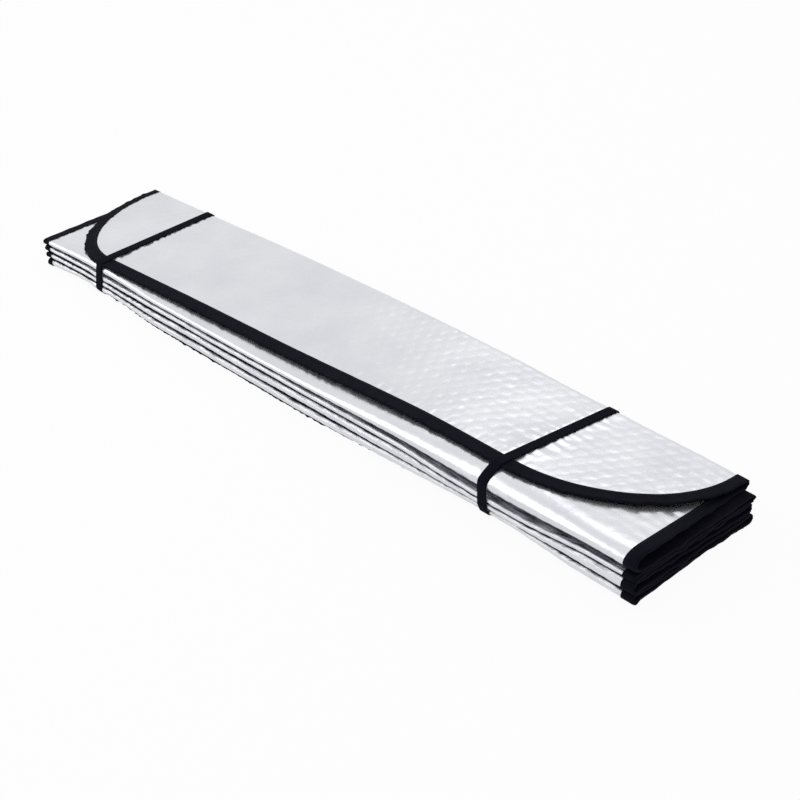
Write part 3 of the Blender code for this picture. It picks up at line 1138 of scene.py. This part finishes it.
# The black fabrics are dull, a little blue, and paler where they are worn. Their thread is brighter.
CLOTH = {"Metallic": 0.0, "IOR": 1.45, "Specular IOR Level": 0.04}
SEWN = {**CLOTH, "Specular IOR Level": 0.2}
CLOTH_DARK = (0.0044, 0.0044, 0.0090)
CLOTH_WORN = (0.0080, 0.0080, 0.0145)
THREAD_BRIGHT = (0.016, 0.016, 0.023)
TAPE_THREAD = 0.0007
ELASTIC_THREAD = 0.0009


def tape_material():
    material, start = new_material("black woven edge tape")
    place, along, across, _ = flat_place(start)
    worn = noise_at(place, 40.0, 3.0)
    weave = threads(along, TAPE_THREAD) * threads(across, TAPE_THREAD)
    varying = {
        "Base Color": ramp(worn, 0.35, CLOTH_DARK, 0.75, CLOTH_WORN),
        "Roughness": 0.62 + worn * 0.15,
        "Normal": bump_from(weave, 0.5, 0.0002),
    }
    finish_surface(start, CLOTH, varying)
    return material


def elastic_material():
    material, start = new_material("black knitted elastic")
    place, along, across, _ = flat_place(start)
    fuzz = noise_at(place, 900.0, 2.0)
    knit = threads(along, ELASTIC_THREAD) * 0.5 + threads(across, BAND_WIDTH / BAND_RIBS) * 0.5
    varying = {
        "Base Color": ramp(fuzz, 0.3, CLOTH_DARK, 0.8, CLOTH_WORN),
        "Roughness": 0.70 + fuzz * 0.15,
        "Normal": bump_from(knit + fuzz * 0.4, 0.6, 0.0002),
    }
    finish_surface(start, CLOTH, varying)
    return material


def thread_material():
    material, start = new_material("black sewing thread")
    place = start.node("ShaderNodeTexCoord", None, None, "Object")
    twist = noise_at(place, 1500.0, 2.0)
    varying = {
        "Base Color": ramp(twist, 0.3, CLOTH_WORN, 0.8, THREAD_BRIGHT),
        "Roughness": 0.45 + twist * 0.2,
        "Normal": bump_from(twist, 0.4, 0.0001),
    }
    finish_surface(start, SEWN, varying)
    return material


# The white studio: its floor, how much of that is whitened where it is seen, and the light of its
# surroundings, which are plain white where they are seen.
FLOOR_SIZE = 14.0
FLOOR_COLOUR = (0.86, 0.86, 0.86)
FLOOR_WHITENING = 0.95
WHITE = (1, 1, 1, 1)
WORLD_STRENGTH = 0.66

# The lamps: each one's name, its place, what it is aimed at, its size and its power.
LAMPS = (
    ("back softbox", (-0.6, 1.1, 1.7), (0.1, 0, 0.03), 0.8, 2.0),
    ("front softbox", (-1.3, -1.1, 1.2), (0, 0, 0.03), 1.4, 11.0),
)


def background_rays(start):
    """1 for a ray that sees the background itself or its reflection."""
    ray = start.node("ShaderNodeLightPath", None, None, "Is Camera Ray")
    seen = ray
    for name in ("Is Glossy Ray", "Is Transmission Ray"):
        seen = seen.math("MAXIMUM", seen, ray.output(name))
    return seen


def make_floor():
    bpy.ops.mesh.primitive_plane_add(size=FLOOR_SIZE, location=(0, 0, 0))
    floor_sheet = bpy.context.object
    floor_sheet.name = "studio_floor"
    material, start = new_material("white studio floor")
    diffuse = start.node("ShaderNodeBsdfDiffuse", None, {"Color": (*FLOOR_COLOUR, 1)})
    glow = start.node("ShaderNodeEmission", None, {"Color": WHITE, "Strength": 1.0})
    share = background_rays(start) * FLOOR_WHITENING
    mixed = start.node("ShaderNodeMixShader", None, {0: share, 1: diffuse, 2: glow})
    link_surface(start, "ShaderNodeOutputMaterial", mixed)
    floor_sheet.data.materials.append(material)


def make_world():
    world = bpy.data.worlds.new("white studio")
    bpy.context.scene.world = world
    world.use_nodes = True
    world.node_tree.nodes.clear()
    start = Signal(world.node_tree)
    strength = WORLD_STRENGTH + background_rays(start) * (1 - WORLD_STRENGTH)
    glow = start.node("ShaderNodeBackground", None, {"Color": WHITE, "Strength": strength})
    link_surface(start, "ShaderNodeOutputWorld", glow)


def make_lamp(name, place, aim, size, power):
    """A soft square lamp at a place, turned towards another."""
    lamp = bpy.data.lights.new(name, "AREA")
    lamp.size = size
    lamp.energy = power
    holder = bpy.data.objects.new(name, lamp)
    holder.location = place
    holder.rotation_euler = (Vector(aim) - Vector(place)).to_track_quat("-Z", "Y").to_euler()
    bpy.context.scene.collection.objects.link(holder)


# The camera: its sensor's width in millimetres, its focal length as a share of that width, its
# place on the folding rules' own axes, its angles in degrees, and the nearest and farthest it sees.
FOCAL = 2.0
SENSOR = 36.0
CAMERA_PLACE = (0.9648, -0.8489, 0.7611)
CAMERA_PITCH = 31.48
CAMERA_YAW = 46.53
NEAREST = 0.01
FARTHEST = 60.0


def make_camera():
    camera = bpy.data.cameras.new("photo angle")
    camera.sensor_width = SENSOR
    camera.lens = FOCAL * SENSOR
    camera.clip_start = NEAREST
    camera.clip_end = FARTHEST
    holder = bpy.data.objects.new("photo angle", camera)
    x, y, z = CAMERA_PLACE
    holder.location = (x, y + SHIFT, z)
    holder.rotation_euler = (radians(90 - CAMERA_PITCH), 0.0, radians(CAMERA_YAW))
    bpy.context.scene.collection.objects.link(holder)
    bpy.context.scene.camera = holder


def main():
    scene = bpy.context.scene
    scene.view_settings.view_transform = "Standard"
    make_camera()
    make_world()
    make_floor()
    for lamp in LAMPS:
        make_lamp(*lamp)
    film = make_film(film_material())
    tape = make_edge_binding(tape_material())
    seams = make_seams(thread_material())
    elastic = elastic_material()
    for piece in (film, tape, *seams):
        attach(piece, "root")
    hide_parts("foil_sheet")
    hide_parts("edge_binding")
    for name, (place, lean) in BANDS.items():
        band = make_band(name.replace("elastic_band", "knitted_band"), place, lean, elastic)
        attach(band, "root")
        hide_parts(name)


main()
